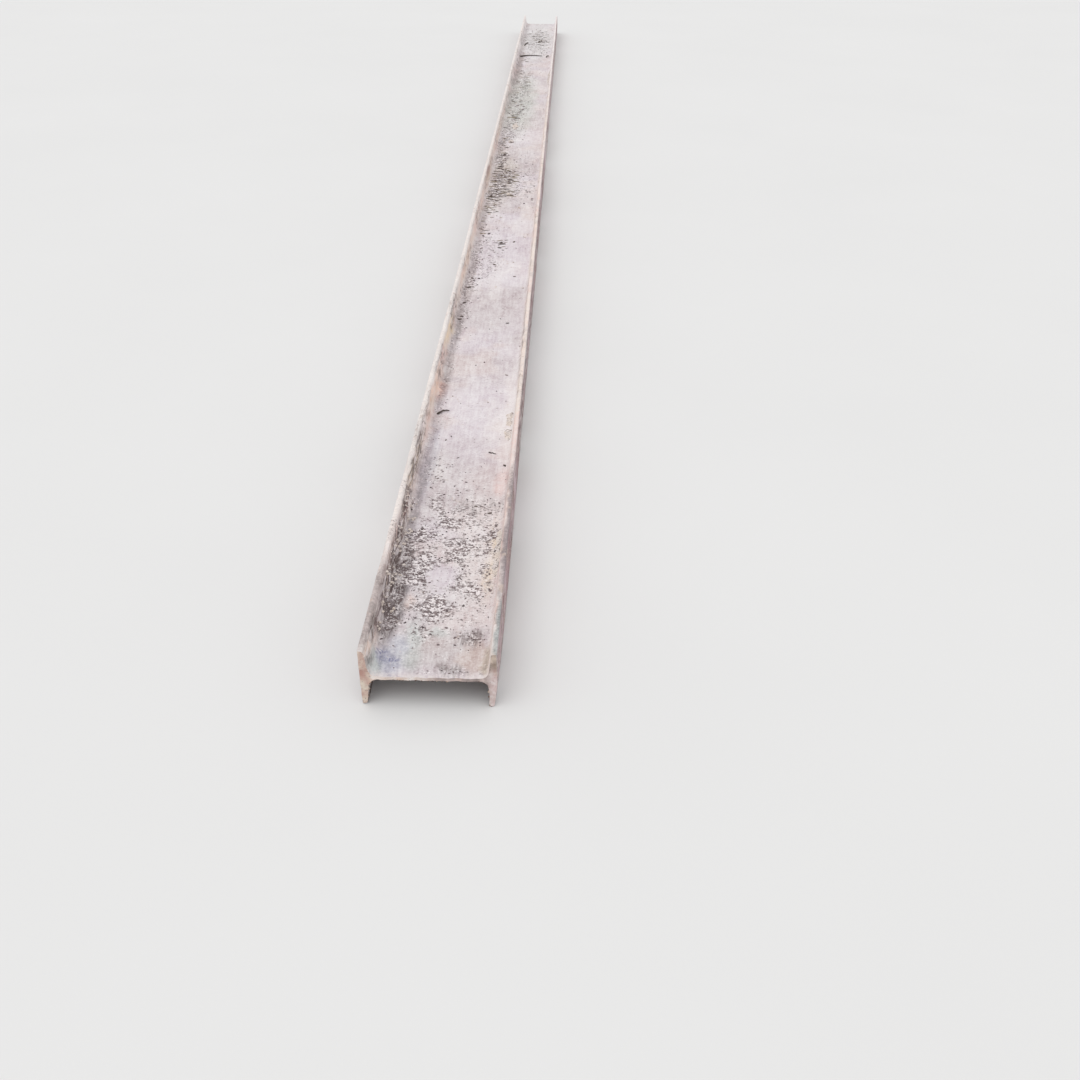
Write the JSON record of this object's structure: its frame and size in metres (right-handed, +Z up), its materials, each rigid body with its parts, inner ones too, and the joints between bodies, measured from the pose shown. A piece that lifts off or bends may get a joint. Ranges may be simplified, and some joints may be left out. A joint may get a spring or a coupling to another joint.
{
  "type": "steel i-beam",
  "caption": "Hot-rolled steel I-beam with tapered flanges, root fillets and rounded toes, torch-cut at both ends, in worn red-oxide primer with rust, dust and mortar.",
  "frame": {"origin": "centre of the rectangle that the beam covers on the floor, at floor level", "axes": "+Y along the beam from its neatly cut near end to its rough far end, +X across the web from the left flange to the right one, +Z up, square to the web"},
  "size_m": [0.1524, 4.572, 0.0762],
  "materials": {
    "primed_steel": "worn matt red-oxide primer under grey dust and mortar, rusty at its edges and cut ends"
  },
  "bodies": {
    "root": {"beam": "primed_steel"}
  },
  "joints": []
}
